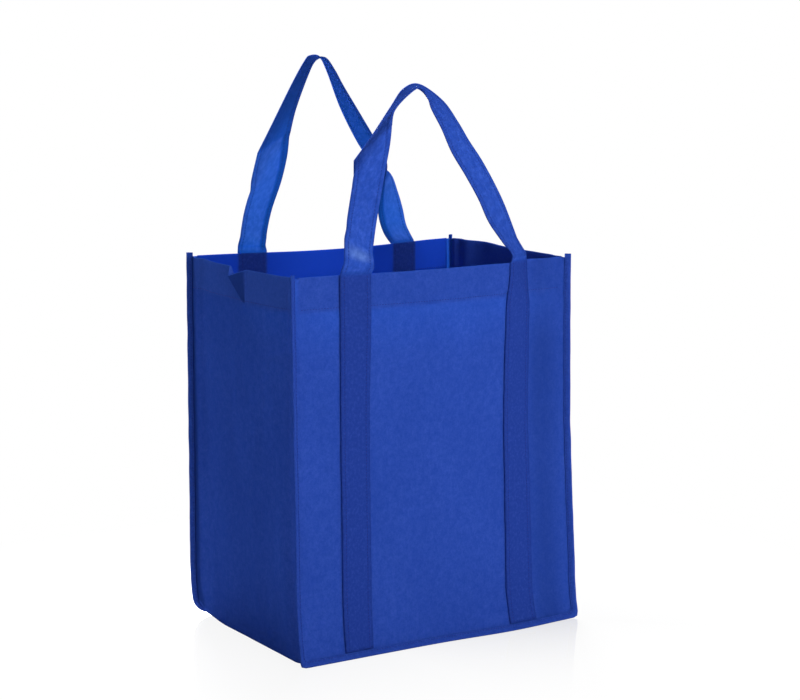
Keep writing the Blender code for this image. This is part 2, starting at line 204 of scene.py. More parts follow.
def panelRipple(side, x, z):
    # outward swell of a large panel at a place on it
    seed = 3.1 if side < 0 else 11.7
    swell = wrinkle["panelSwell"] * cloudAt("swell", x, z, seed)
    swell += 0.4 * wrinkle["panelSwell"] * cloudAt("fineSwell", x, z, seed + 4)
    puckerSize = wrinkle["hemPucker"] * (1 + 1.3 * smoothStep((x - 0.05) / 0.10))
    nearHem = bump(z, hemLine + 0.001, 0.009)
    swell += puckerSize * nearHem * cloudAt("hemPucker", x + 0.35 * z, z, seed + 7)
    for foot in (-footAt(side), footAt(side)):
        nearStitch = bump(abs(x - foot), halfStrap, 0.008)
        swell += wrinkle["strapPull"] * nearStitch * cloudAt("strapPull", x, z, seed + 9)
    edge = min(halfWidth - abs(x), z - seamHeight)
    nearEdge = bump(edge, 0.006, 0.010)
    swell += wrinkle["seamPucker"] * nearEdge * cloudAt("seamPucker", x, z, seed + 13)
    if side < 0:
        across = bump(x, wrinkle["rightWavesAt"], 0.022)
        tall = 0.35 + 0.65 * smoothStep((z - 0.02) / 0.25)
        wave = math.sin((x - 0.118 - 0.03 * z) * repeats["rightWaves"])
        swell += wrinkle["rightWaves"] * across * tall * wave
    return swell * smoothStep(edge / wrinkle["seamCalm"])


def gussetRipple(side, y, z):
    # outward swell of a side
    seed = 21.3 if side < 0 else 31.9
    folds = cloudAt("folds", y, z, seed) + 0.6 * cloudAt("fineFolds", y, z, seed + 2)
    tall = 0.45 + 0.55 * smoothStep((0.34 - z) / 0.10)
    swell = wrinkle["gussetFolds"] * folds * tall
    edgeSwell = wrinkle["gussetEdge"] * smoothStep((z - 0.015) / 0.05)
    swell += edgeSwell * (bump(y, 0.092, 0.009) - 0.5 * bump(y, 0.078, 0.010))
    swell -= 0.6 * edgeSwell * bump(y, -0.094, 0.008)
    nearFoot = bump(z, 0.022, 0.016)
    swell += wrinkle["footDents"] * nearFoot * cloudAt("footDents", y, z, seed + 5)
    edge = min(halfDepth - abs(y), z - seamHeight)
    return swell * smoothStep(edge / wrinkle["seamCalm"])


def squaredCorner(x, depth, z):
    # the bottom corners are drawn out nearly square at the front and stay round at the back
    inset = halfWidth - bag["cornerRadius"]
    beyond = abs(x) - inset
    below = seamHeight + bag["cornerRadius"] - z
    if beyond <= 0 or below <= 0:
        return x, z
    power = bag["frontCornerPower"]
    square = math.hypot(beyond, below) / (beyond ** power + below ** power) ** (1 / power)
    stretch = depth + (1 - depth) * square
    return math.copysign(inset + beyond * stretch, x), z + below * (1 - stretch)


def standingPlace(x, y, z):
    # from the squared-up bag to where the standing bag holds that point
    depth = min(1.0, max(0.0, y / bag["depth"] + 0.5))
    x, z = squaredCorner(x, depth, z)
    across = min(1.0, max(0.0, x / bag["width"] + 0.5))
    height = min(1.0, max(0.0, z / bag["height"]))
    shift = [
        height * (
            (1 - across) * (1 - depth) * stance["frontLeft"][axis]
            + across * (1 - depth) * stance["frontRight"][axis]
            + (1 - across) * depth * stance["backLeft"][axis]
            + across * depth * stance["backRight"][axis]
        )
        for axis in (0, 1)
    ]
    rise = smoothStep((z - bag["height"] + stance["bowDrop"]) / stance["bowDrop"])
    panelShare = (1 - (2 * across - 1) ** 2) ** 2
    sideShare = 1 - (2 * depth - 1) ** 2
    bow = rise * panelShare * (stance["frontBow"] * (1 - depth) + stance["backBow"] * depth)
    dip = rise * panelShare * depth * stance["backDip"]
    hump = bump(y, stance["rightBellyAt"], stance["rightBellySpread"])
    belly = across * stance["rightBelly"] * hump - (1 - across) * stance["leftBelly"]
    sagShare = smoothStep((halfDepth - abs(y)) / stance["baseRise"])
    sagFade = 1 - smoothStep((z - seamHeight - bag["cornerRadius"]) / stance["sagFade"])
    sag = (seamHeight - bag["cloth"] / 2) * sagShare * sagFade
    dx = shift[0] + rise * sideShare * belly
    dy = shift[1] - bow
    calm = 1 - smoothStep((z - bag["height"] + stance["calmFrom"]) / stance["calmFade"])
    for side in (-1, 1):
        onPanel = calm * smoothStep((side * y - stance["panelFrom"]) / stance["wallFade"])
        onSide = calm * smoothStep((side * x - stance["sideFrom"]) / stance["wallFade"])
        if onPanel > 0:
            dy += side * onPanel * panelRipple(side, x, z)
        if onSide > 0:
            dx += side * onSide * gussetRipple(side, y, z)
    # the right edge bows in and the two front toes spread
    toFront = 1 - (1 - stance["edgeToBack"]) * depth
    nearRight = smoothStep((x - stance["edgeFrom"]) / stance["edgeFade"])
    nearLeft = smoothStep((-x - stance["edgeFrom"]) / stance["edgeFade"])
    toe = stance["leftToe"] * (1 - smoothStep(z / stance["toeHeight"]))
    dx += toFront * (nearRight * readOff(stance["rightEdge"], z) + nearLeft * toe)
    # the right front strap twists as it nears the rim
    fromFoot = (x - footAt(-1)) / halfStrap
    twist = smoothStep((-y - stance["panelFrom"]) / stance["wallFade"])
    twist *= smoothStep((z - stance["strapTwistFrom"]) / stance["strapTwistFade"])
    dy += stance["strapTwist"] * twist * fromFoot * math.exp((1 - fromFoot ** 2) / 2)
    # the front bottom edge swells out, and the back left heel is lifted and drawn in
    low = 1 - smoothStep(z / stance["footHeight"])
    swell = bump(x, stance["frontSwellAt"], stance["frontSwellSpread"])
    dy -= stance["frontSwell"] * low * smoothStep((-y - 0.090) / 0.015) * swell
    heel = low * smoothStep((y - 0.050) / 0.050) * smoothStep((-x - 0.125) / 0.035)
    dx += stance["backHeel"] * heel
    z += stance["backHeelLift"] * heel
    nearSeam = smoothStep((abs(x) - 0.150) / 0.012) * smoothStep((abs(y) - 0.094) / 0.012)
    if nearSeam > 0:
        dx += nearSeam * wrinkle["seamWobble"] * cloudAt("seamWobble", z, x, 41.0)
        dy += nearSeam * wrinkle["seamWobble"] * cloudAt("seamWobble", z, y, 47.0)
    return Vector((x + dx, y + dy, (z - dip - sag) * stance["upStretch"]))


def spaced(start, end, count):
    return [start + (end - start) * step / count for step in range(count + 1)]


# Materials

weave = {
    "royalBlue": (0.0225, 0.0635, 0.3780),
    "paleFibre": (0.0500, 0.1150, 0.5200),
    "deepFibre": (0.0090, 0.0370, 0.2600),
    # painted shade of stacked layers and strap seams, and a dark blue of thread and strap blotches
    "darkBlueAndLayerShade": (0.0130, 0.0350, 0.2350),
    # painted sheen on the side's double hem
    "hemSheenBlue": (0.0300, 0.0780, 0.3700),
    "shadeBlue": (0.0020, 0.0110, 0.0900),
    # painted highlight on pulled strap cloth, and painted light through the back strap's legs
    "paintedLightBlue": (0.1300, 0.2250, 0.5300),
    # painted light showing through the back panel's hem
    "paintedBacklightBlue": (0.0110, 0.0720, 0.6000),
    "threadBlue": (0.0060, 0.0190, 0.1300),
    "throughBlue": (0.0500, 0.3800, 0.7000),
    "embossPitch": 0.0014,
    "mottle": 0.55,
    "strapMottle": 1.0,
    "reliefDepth": 0.00014,
    "lightThrough": {
        "front": 0.32,
        "back": 0.38,
        "gusset": 0.32,
        "tape": 0.25,
        "frontStrap": 0.25,
        "backStrap": 0.42,
    },
    # noise in the cloth: how often it repeats along each way in a metre, its detail and roughness
    "clouds": ((150, 110, 1), 5.0, 0.65),
    "drift": ((14, 9, 1), 2.0, 0.5),
    "fibres": ((420, 300, 1), 3.0, 0.65),
    "grain": ((900, 900, 1), 2.0, 0.7),
    "blotches": ((260, 170, 1), 2.0, 0.6),
}


def addNode(tree, kind, **values):
    made = tree.nodes.new(kind)
    for key, value in values.items():
        setattr(made, key, value)
    return made


def feed(tree, socket, value):
    # a number or colour is set on the socket, and another node's output is linked to it
    if isinstance(value, (int, float)):
        socket.default_value = value
    elif isinstance(value, tuple):
        socket.default_value = (*value, 1.0)
    else:
        tree.links.new(value, socket)


def mathNode(tree, operation, first, second=None):
    made = addNode(tree, "ShaderNodeMath", operation=operation)
    feed(tree, made.inputs[0], first)
    if second is not None:
        feed(tree, made.inputs[1], second)
    return made.outputs[0]


def times(tree, first, second):
    return mathNode(tree, "MULTIPLY", first, second)


def noiseNode(tree, vector, stretch, detail, roughness):
    spread = addNode(tree, "ShaderNodeMapping")
    spread.inputs["Scale"].default_value = stretch
    tree.links.new(vector, spread.inputs["Vector"])
    made = addNode(tree, "ShaderNodeTexNoise")
    made.inputs["Scale"].default_value = 1.0
    made.inputs["Detail"].default_value = detail
    made.inputs["Roughness"].default_value = roughness
    tree.links.new(spread.outputs["Vector"], made.inputs["Vector"])
    return made.outputs["Fac"]


def rangeNode(tree, value, low, high, toLow, toHigh):
    made = addNode(tree, "ShaderNodeMapRange", clamp=True)
    ends = {"Value": value, "From Min": low, "From Max": high, "To Min": toLow, "To Max": toHigh}
    for label, end in ends.items():
        feed(tree, made.inputs[label], end)
    return made.outputs["Result"]


def mixColour(tree, factor, first, second):
    made = addNode(tree, "ShaderNodeMix", data_type="RGBA", blend_type="MIX")
    colours = [socket for socket in made.inputs if socket.type == "RGBA"]
    for socket, value in zip([made.inputs[0]] + colours, (factor, first, second)):
        feed(tree, socket, value)
    return [socket for socket in made.outputs if socket.type == "RGBA"][0]


def mixShader(tree, factor, first, second):
    made = addNode(tree, "ShaderNodeMixShader")
    for socket, value in zip(made.inputs, (factor, first.outputs[0], second.outputs[0])):
        feed(tree, socket, value)
    return made


def addRelief(tree, shader, height, strength, depth):
    relief = addNode(tree, "ShaderNodeBump")
    for label, value in (("Strength", strength), ("Distance", depth), ("Height", height)):
        feed(tree, relief.inputs[label], value)
    tree.links.new(relief.outputs["Normal"], shader.inputs["Normal"])


def newMaterial(name):
    made = bpy.data.materials.new(name)
    made.use_nodes = True
    return made, made.node_tree, made.node_tree.nodes["Principled BSDF"]


def clothMaterial(name, kind, layerShadeAndSheenShare, backColour, lightColour="paintedBacklightBlue", stitchedEdges=False):
    # spunbonded cloth: cloudy fibres, fine grain, a lattice of pressed dots, and painted shade
    # where other layers lie behind it (a painted sheen on the side's hem); one attribute above 0 is
    # painted shade in folds and hollows, below 0 painted light: a highlight or light showing
    # through
    made, tree, shader = newMaterial(name)
    flat = addNode(tree, "ShaderNodeUVMap", uv_map="clothFlat").outputs["UV"]
    parts = addNode(tree, "ShaderNodeSeparateXYZ")
    tree.links.new(flat, parts.inputs[0])
    turn = 2 * math.pi / weave["embossPitch"] / 2
    alongU = mathNode(tree, "COSINE", times(tree, parts.outputs[0], turn))
    alongV = mathNode(tree, "COSINE", times(tree, parts.outputs[1], turn))
    lattice = times(tree, alongU, alongV)
    dots = rangeNode(tree, mathNode(tree, "ABSOLUTE", lattice), 0.45, 0.95, 0.0, 1.0)
    clouds = noiseNode(tree, flat, *weave["clouds"])
    drift = noiseNode(tree, flat, *weave["drift"])
    fibres = noiseNode(tree, flat, *weave["fibres"])
    grain = noiseNode(tree, flat, *weave["grain"])
    mottle = weave["strapMottle"] if stitchedEdges else weave["mottle"]
    colour = weave["royalBlue"]
    for share, tint in (
        (rangeNode(tree, clouds, 0.35, 0.68, 0.0, mottle), "paleFibre"),
        (rangeNode(tree, fibres, 0.30, 0.62, 0.50, 0.0), "deepFibre"),
        (rangeNode(tree, grain, 0.42, 0.75, 0.0, 0.35), "paleFibre"),
        (times(tree, dots, 0.22), "deepFibre"),
        (rangeNode(tree, drift, 0.30, 0.70, 0.25, 0.0), "deepFibre"),
    ):
        colour = mixColour(tree, share, colour, weave[tint])
    layerShadeAndSheen = addNode(tree, "ShaderNodeAttribute", attribute_name="layerShadeAndSheen").outputs["Fac"]
    flecks = times(tree, rangeNode(tree, fibres, 0.46, 0.66, 0.0, 0.30), layerShadeAndSheen)
    paintedShadeAndLight = addNode(tree, "ShaderNodeAttribute", attribute_name="paintedShadeAndLight").outputs["Fac"]
    for share, tint in (
        (times(tree, layerShadeAndSheen, layerShadeAndSheenShare), backColour),
        (flecks, "paleFibre"),
        (paintedShadeAndLight, "shadeBlue"),
        (times(tree, paintedShadeAndLight, -1.0), lightColour),
    ):
        colour = mixColour(tree, share, colour, weave[tint])
    height = times(tree, fibres, 0.6)
    height = mathNode(tree, "ADD", height, times(tree, grain, 0.35))
    height = mathNode(tree, "SUBTRACT", height, times(tree, dots, 0.55))
    if stitchedEdges:
        # the strap's two seams press a groove with a dimple at each stitch; painted shade darkens
        # the groove and the hemmed edges beyond it, and blotches darken it at random
        across = mathNode(tree, "ABSOLUTE", parts.outputs[0])
        fromSeam = mathNode(tree, "SUBTRACT", across, strapLook["seamAt"])
        groove = rangeNode(tree, mathNode(tree, "ABSOLUTE", fromSeam), 0.0003, 0.0014, 1.0, 0.0)
        beat = times(tree, parts.outputs[1], 2 * math.pi / strapLook["stitchPitch"])
        dimple = rangeNode(tree, mathNode(tree, "COSINE", beat), -0.2, 0.9, 0.35, 1.0)
        pressed = times(tree, groove, dimple)
        hemmed = rangeNode(tree, fromSeam, 0.0002, 0.0012, 0.0, 1.0)
        blotches = noiseNode(tree, flat, *weave["blotches"])
        for share in (
            times(tree, pressed, 0.75),
            times(tree, hemmed, 0.16),
            rangeNode(tree, blotches, 0.40, 0.62, 0.42, 0.0),
        ):
            colour = mixColour(tree, share, colour, weave["darkBlueAndLayerShade"])
        height = mathNode(tree, "SUBTRACT", height, times(tree, pressed, 1.6))
        height = mathNode(tree, "ADD", height, times(tree, hemmed, 0.6))
    tree.links.new(colour, shader.inputs["Base Color"])
    tree.links.new(rangeNode(tree, fibres, 0.3, 0.7, 0.50, 0.66), shader.inputs["Roughness"])
    shader.inputs["Specular IOR Level"].default_value = 0.0
    addRelief(tree, shader, height, 0.50, weave["reliefDepth"])
    glow = addNode(tree, "ShaderNodeBsdfTranslucent")
    tree.links.new(mixColour(tree, 0.5, colour, weave["throughBlue"]), glow.inputs["Color"])
    both = mixShader(tree, weave["lightThrough"][kind], shader, glow)
    tree.links.new(both.outputs[0], tree.nodes["Material Output"].inputs["Surface"])
    return made


def threadMaterial(name):
    # spun polyester thread with a twist
    made, tree, shader = newMaterial(name)
    place = addNode(tree, "ShaderNodeTexCoord").outputs["Object"]
    twist = noiseNode(tree, place, (1400, 1400, 1400), 2.0, 0.6)
    colour = mixColour(tree, twist, weave["darkBlueAndLayerShade"], weave["threadBlue"])
    tree.links.new(colour, shader.inputs["Base Color"])
    tree.links.new(rangeNode(tree, twist, 0.3, 0.7, 0.38, 0.55), shader.inputs["Roughness"])
    shader.inputs["Specular IOR Level"].default_value = 0.10
    addRelief(tree, shader, twist, 0.4, 0.0001)
    return made


# The two blacks of the base board, and the depth of its flutes
boardLook = {
    "black": (0.020, 0.020, 0.024),
    "scuff": (0.060, 0.060, 0.066),
    "fluteDepth": 0.0003,
}


def boardMaterial(name):
    # black fluted plastic with a fine grain and scuffs
    made, tree, shader = newMaterial(name)
    place = addNode(tree, "ShaderNodeTexCoord").outputs["Object"]
    flutes = noiseNode(tree, place, (260, 4, 4), 1.0, 0.4)
    scuffs = noiseNode(tree, place, (40, 90, 40), 6.0, 0.6)
    scuffed = rangeNode(tree, scuffs, 0.5, 0.75, 0.0, 0.5)
    colour = mixColour(tree, scuffed, boardLook["black"], boardLook["scuff"])
    tree.links.new(colour, shader.inputs["Base Color"])
    tree.links.new(rangeNode(tree, scuffs, 0.4, 0.7, 0.42, 0.62), shader.inputs["Roughness"])
    addRelief(tree, shader, flutes, 0.5, boardLook["fluteDepth"])
    return made


# Where the straps are stitched, how finely they are divided, how much painted shade their sewn
# parts get, and how far above the rim that fades
strapLook = {
    "seamAt": 0.0122,
    "stitchPitch": 0.0031,
    "columns": 12,
    "legStep": 0.0035,
    "frontSewn": 0.95,
    "backSewn": 0.75,
    "rimBlend": 0.004,
}
# The thread's stitches, the share of each that tapers, how far they stand off the cloth, and
# where the hems' and tapes' rows run
threadLook = {
    "length": 0.0021,
    "radius": 0.00020,
    "sides": 5,
    "taper": 0.22,
    "lift": 0.00006,
    "hemRow": 0.0030,
    "tapeRow": 0.0016,
}
# How finely the cloth is divided: row steps in metres, and counts
division = {
    "panelStep": 0.003,
    "gussetStep": 0.0034,
    "tapeStep": 0.003,
    "panelHemRows": 11,
    "gussetHemRows": 10,
    "gussetColumns": 24,
    "foldColumns": 8,
    "cornerParts": 8,
    "tapeFlatStep": 0.0016,
    "turnParts": 6,
    "hemStitchSpots": 160,
    "gussetStitchSpots": 120,
}

# panels, tapes and straps get painted shade where layers stack; the straps also painted light
panelCloth = {
    -1: clothMaterial("frontCloth", "front", 0.85, "darkBlueAndLayerShade"),
    1: clothMaterial("backCloth", "back", 0.85, "darkBlueAndLayerShade"),
}
# the side gets a painted sheen on its hem
gussetCloth = clothMaterial("gussetCloth", "gusset", 1.0, "hemSheenBlue")
tapeCloth = clothMaterial("tapeCloth", "tape", 0.8, "darkBlueAndLayerShade")
strapCloth = {
    -1: clothMaterial("frontStrapCloth", "frontStrap", 0.9, "darkBlueAndLayerShade", "paintedLightBlue", True),
    1: clothMaterial("backStrapCloth", "backStrap", 0.9, "darkBlueAndLayerShade", "paintedLightBlue", True),
}
seamThread = threadMaterial("seamThread")
boardPlastic = boardMaterial("boardPlastic")
print("materials made")


def link(name, data):
    # a new object with this mesh, lamp or camera, in the scene
    made = bpy.data.objects.new(name, data)
    bpy.context.scene.collection.objects.link(made)
    return made


def makePiece(name, sheet, material, thickness):
    mesh = bpy.data.meshes.new(name)
    mesh.from_pydata([point[0] for point in sheet.points], [], sheet.faces)
    layer = mesh.uv_layers.new(name="clothFlat")
    for loop in mesh.loops:
        layer.data[loop.index].uv = sheet.points[loop.vertex_index][1]
    for label, column in (("layerShadeAndSheen", 2), ("paintedShadeAndLight", 3)):
        shade = mesh.attributes.new(label, "FLOAT", "POINT")
        for index, point in enumerate(sheet.points):
            shade.data[index].value = point[column]
    mesh.shade_smooth()
    mesh.set_sharp_from_angle(angle=math.radians(42))
    mesh.materials.append(material)
    piece = link(name, mesh)
    if thickness:
        body = piece.modifiers.new("thickness", "SOLIDIFY")
        body.thickness = thickness
        body.offset = 0.0
        body.use_even_offset = True
    return piece


class clothSheet:
    # gathers the points of one cut of cloth, each a place, a flat place, a share of layers behind
    # it that the cloth paints as shade (as sheen on the side's hem), and a painted shade that is
    # painted light below 0

    def __init__(self):
        self.points = []
        self.faces = []

    def point(self, place, flat, layerShadeAndSheen=0.0, paintedShadeAndLight=0.0):
        self.points.append((place, flat, layerShadeAndSheen, paintedShadeAndLight))
        return len(self.points) - 1

    def skin(self, rows, flip=False):
        for lower, upper in zip(rows, rows[1:]):
            for index in range(len(lower) - 1):
                corners = (lower[index], lower[index + 1], upper[index + 1], upper[index])
                self.faces.append(tuple(reversed(corners)) if flip else corners)


def hemTurn(gap, rows):
    # the turned-in hem: steps inward and heights, from the rim's fold down
    step = bag["cloth"] + gap
    radius = step / 2
    centre = bag["height"] - bag["cloth"] / 2 - radius
    turn = []
    for part in range(1, division["turnParts"] + 1):
        angle = math.pi * part / division["turnParts"]
        turn.append((radius - radius * math.cos(angle), centre + radius * math.sin(angle)))
    return turn + [(step, centre + (hemLine - centre) * row / rows) for row in range(1, rows + 1)]


def wallHeights(step):
    # levels from the bottom corner's end up to the rim's fold, one of them at the hem line
    foot = seamHeight + bag["cornerRadius"]
    top = bag["height"] - bag["cloth"] / 2 - pitch / 2
    heights = spaced(foot, hemLine, round((hemLine - foot) / step))
    return heights + spaced(hemLine, top, round((top - hemLine) / step))[1:]


def seamPath(step):
    # the seam's line from the left rim down, along the base and up to the right rim
    radius = bag["cornerRadius"]
    foot = seamHeight + radius
    centreX = halfWidth - radius
    left = [((-halfWidth, z), (-1.0, 0.0)) for z in reversed(wallHeights(step)[1:])]
    for part in range(division["cornerParts"] + 1):
        angle = math.pi / 2 * part / division["cornerParts"]
        normal = (-math.cos(angle), -math.sin(angle))
        left.append(((-centreX + radius * normal[0], foot + radius * normal[1]), normal))
    count = round(2 * centreX / step)
    bottom = [((x, seamHeight), (0.0, -1.0)) for x in spaced(-centreX, centreX, count)[1:-1]]
    right = [((-x, z), (-nx, nz)) for (x, z), (nx, nz) in reversed(left)]
    return left + bottom + right


# Painted light that comes through at the back: the panel's hem, and the strap's legs up to
# their folds at these heights over the rim; the strap's inner hem and its part above the folds stay
# dark with painted shade
backLight = {
    "panelHem": 0.85,
    "leftFold": 0.113,
    "rightFold": 0.070,
    "legs": 0.24,
    "above": 0.27,
    "hem": 0.65,
    "hemFrom": 0.52,
    "hemBlend": 0.08,
    "foldBlend": 0.006,
}


def panelLayerShade(x, z, side):
    # how far other layers lie behind a place on a panel, its own hem or a sewn strap; the cloth
    # paints this as shade
    hem = 0.02 * smoothStep((z - hemLine) / 0.0015)
    beside = abs(abs(x) - footAt(side)) - halfStrap
    strap = smoothStep((0.0008 - beside) / 0.0016) if z > seamHeight + bag["strapFoot"] else 0.0
    return max(hem, strap)


def panelShade(x, z, side):
    # painted shade in the soft hollow between the right strap and the front's right edge
    if side > 0:
        return 0.0
    return 0.34 * bump(x, 0.136, 0.022) * (1 - 0.6 * smoothStep((z - 0.29) / 0.06))


def largePanel(name, side):
    # one large face: hemmed at the rim, its edges turned out into the seam
    sheet = clothSheet()
    wallY = side * halfDepth
    centreX = halfWidth - bag["cornerRadius"]
    radius = bag["cornerRadius"] - seamInset
    parts = division["cornerParts"]
    ends = []
    for part in range(parts):
        angle = math.pi / 2 * (1 - part / parts)
        normal = (math.cos(angle), -math.sin(angle))
        height = seamHeight + bag["cornerRadius"] + radius * normal[1]
        ends.append((centreX + radius * normal[0], height, normal))
    ends += [(halfWidth - seamInset, z, (1.0, 0.0)) for z in wallHeights(division["panelStep"])]
    count = round(2 * (halfWidth - bag["hemEndInset"]) / division["panelStep"])
    rows = []
    for end, z, _ in ends:
        hemEnd = end - bag["hemEndInset"]
        row = []
        for x in [-end] + spaced(-hemEnd, hemEnd, count) + [end]:
            # sewn straps and the hem get painted shade, and so does the front's right hollow
            layerShadeAndSheen, shade = panelLayerShade(x, z, side), panelShade(x, z, side)
            row.append(sheet.point(standingPlace(x, wallY, z), (x, z), layerShadeAndSheen, shade))
        rows.append(row)
    sheet.skin(rows, side > 0)
    hemEnd = halfWidth - seamInset - bag["hemEndInset"]
    hemRows = [rows[-1][1:-1]]
    for inward, z in hemTurn(bag["layerGap"], division["panelHemRows"]):
        row = []
        for x in spaced(-hemEnd, hemEnd, count):
            place = standingPlace(x, wallY - side * inward, z)
            layerShadeAndSheen = panelLayerShade(x, z, side)
            # the back panel's inner hem gets painted light, as if lit through from behind
            glow = -backLight["panelHem"] * (1 - layerShadeAndSheen) if side > 0 else 0.0
            row.append(sheet.point(place, (x, 2 * bag["height"] - z), layerShadeAndSheen, glow))
        hemRows.append(row)
    sheet.skin(hemRows, side > 0)
    along = (flangeTip - pitch / 2) / math.sqrt(2) + seamInset
    outward = (flangeTip + pitch / 2) / math.sqrt(2)
    upward = [(row, end, z, n) for row, (end, z, n) in zip(rows, ends)]
    border = [(row[0], -end, z, (-n[0], n[1])) for row, end, z, n in reversed(upward)]
    border += [
        (index, sheet.points[index][1][0], ends[0][1], (0.0, -1.0)) for index in rows[0][1:-1]
    ]
    border += [(row[-1], end, z, n) for row, end, z, n in upward]
    tips = []
    for index, x, z, (nx, nz) in border:
        place = standingPlace(x + nx * along, wallY + side * outward, z + nz * along)
        flat = sheet.points[index][1]
        # the seam flanges get a little painted shade
        tips.append(sheet.point(place, (flat[0] + nx * flangeTip, flat[1] + nz * flangeTip), 0.1))
    sheet.skin([[item[0] for item in border], tips], side < 0)
    return makePiece(name, sheet, panelCloth[side], bag["cloth"])


def pleatSpan(z):
    # the popped fold's middle and half width at a height: it closes to a point at the hem line
    if z > hemLine:
        share = (z - hemLine) / bag["hemDepth"]
    else:
        share = min(1.0, (hemLine - z) / pleat["fade"])
    middle = pleat["apexAt"] + (pleat["at"] - pleat["apexAt"]) * share
    return middle, pleat["apex"] + (pleat["halfWidth"] - pleat["apex"]) * share


def gussetPlaces(z, pleated):
    # places across the side strip, gathered at the popped fold
    middle, spread = pleatSpan(z) if pleated else (pleat["at"], pleat["halfWidth"])
    bend = halfDepth - seamInset
    hemEnd = bend - bag["hemEndInset"]
    front = spaced(-hemEnd, middle - spread, division["gussetColumns"])
    fold = spaced(middle - spread, middle + spread, division["foldColumns"])[1:-1]
    back = spaced(middle + spread, hemEnd, division["gussetColumns"])
    return [-bend] + front + fold + back + [bend]


def popped(y, z):
    # how far the left hem's fold stands out and drops
    share = (z - hemLine) / bag["hemDepth"]
    if share <= 0:
        return 0.0, 0.0
    middle, spread = pleatSpan(z)
    tent = max(0.0, 1 - abs(y - middle) / spread)
    return pleat["out"] * share * tent, pleat["drop"] * share * tent


# Shade on the left side: a band by the back seam, the middle, the popped fold's flank, behind it
sideShade = {"band": 0.60, "bandFrom": 0.088, "middle": 0.14, "flank": 0.62, "behind": 0.25}


def creaseShade(y, z):
    # how much less light reaches a place on the left side
    shade = sideShade["band"] * smoothStep((y - sideShade["bandFrom"]) / 0.008)
    if z <= hemLine:
        return max(shade, sideShade["middle"] * bump(y, 0.005, 0.075))
    middle, spread = pleatSpan(z)
    if -0.1 <= (middle - y) / spread <= 0.9:
        shade = max(shade, sideShade["flank"])
    past = smoothStep((y - middle) / 0.004) * smoothStep((middle + 0.05 - y) / 0.05)
    return max(shade, sideShade["behind"] * past)


def sideStrip(name):
    # left side, base and right side in one strip, hemmed at both ends
    sheet = clothSheet()
    path = seamPath(division["gussetStep"])
    along = (flangeTip + pitch / 2) / math.sqrt(2)
    outward = halfDepth + (flangeTip - pitch / 2) / math.sqrt(2)
    rows = []
    frontTips = []
    backTips = []
    run = 0.0
    before = path[0][0]
    for (x, z), (nx, nz) in path:
        run += math.hypot(x - before[0], z - before[1])
        before = (x, z)
        onLeft = nx == -1.0
        # the hem gets painted sheen, and the left side painted shade in its band, middle and fold
        layerShadeAndSheen = 0.5 if z > hemLine else 0.0
        row = []
        for y in gussetPlaces(z, onLeft):
            out, drop = popped(y, z) if onLeft else (0.0, 0.0)
            place = standingPlace(x + nx * out, y, z - drop)
            row.append(sheet.point(place, (y, run), layerShadeAndSheen, creaseShade(y, z) if onLeft else 0.0))
        rows.append(row)
        tipX, tipZ = x + nx * along, z + nz * along
        frontTips.append(sheet.point(standingPlace(tipX, -outward, tipZ), (-outward, run), 0.1))
        backTips.append(sheet.point(standingPlace(tipX, outward, tipZ), (outward, run), 0.1))
    sheet.skin(rows, True)
    sheet.skin([[row[0] for row in rows], frontTips], True)
    sheet.skin([[row[-1] for row in rows], backTips])
    for wallX, inward, topRow in ((-halfWidth, 1, rows[0]), (halfWidth, -1, rows[-1])):
        hemRows = [topRow[1:-1]]
        end = 0.0 if inward > 0 else run
        for step, z in hemTurn(bag["gussetHemGap"], division["gussetHemRows"]):
            row = []
            for y in gussetPlaces(z, inward > 0)[1:-1]:
                out, drop = popped(y, z) if inward > 0 else (0.0, 0.0)
                place = standingPlace(wallX + inward * (step - out), y, z - drop)
                row.append(sheet.point(place, (y, end - inward * (bag["height"] - z)), 0.5))
            hemRows.append(row)
        sheet.skin(hemRows, inward < 0)
    return makePiece(name, sheet, gussetCloth, bag["cloth"])


def tapeSection():
    # the folded tape's section: distances along the seam allowance and across it
    turn = bag["flange"] - tapeOuter
    layers = []
    for reach in (tapeOuter, tapeInner):
        layer = [(0.0, reach), (turn / 2, reach)]
        for part in range(division["turnParts"] + 1):
            angle = math.pi / 2 - math.pi * part / division["turnParts"]
            layer.append((turn + reach * math.cos(angle), reach * math.sin(angle)))
        layers.append(layer + [(turn / 2, -reach), (0.0, -reach)])
    return layers[0] + list(reversed(layers[1]))


def tapePlace(x, z, nx, nz, side, along, across):
    inPlane = (along - across) / math.sqrt(2)
    outward = (along + across) / math.sqrt(2)
    return standingPlace(x + nx * inPlane, side * (halfDepth + outward), z + nz * inPlane)


def edgeTape(name, side):
    # the tape folded over one seam, from rim to rim around the bottom
    sheet = clothSheet()
    path = seamPath(division["tapeStep"])
    top = bag["height"] + bag["tapeOverrun"]
    path = [((path[0][0][0], top), path[0][1])] + path + [((path[-1][0][0], top), path[-1][1])]
    section = tapeSection()
    rings = []
    run = 0.0
    before = path[0][0]
    for (x, z), (nx, nz) in path:
        run += math.hypot(x - before[0], z - before[1])
        before = (x, z)
        ring = []
        for index, (along, across) in enumerate(section):
            place = tapePlace(x, z, nx, nz, side, along, across)
            # the folded tape gets painted shade for its stacked layers
            ring.append(sheet.point(place, (index * division["tapeFlatStep"], run), 0.55))
        rings.append(ring)
    sheet.skin([ring + ring[:1] for ring in rings], side < 0)
    ends = (tuple(rings[0]), tuple(reversed(rings[-1])))
    sheet.faces += [tuple(reversed(face)) if side < 0 else face for face in ends]
    return makePiece(name, sheet, tapeCloth, 0.0)
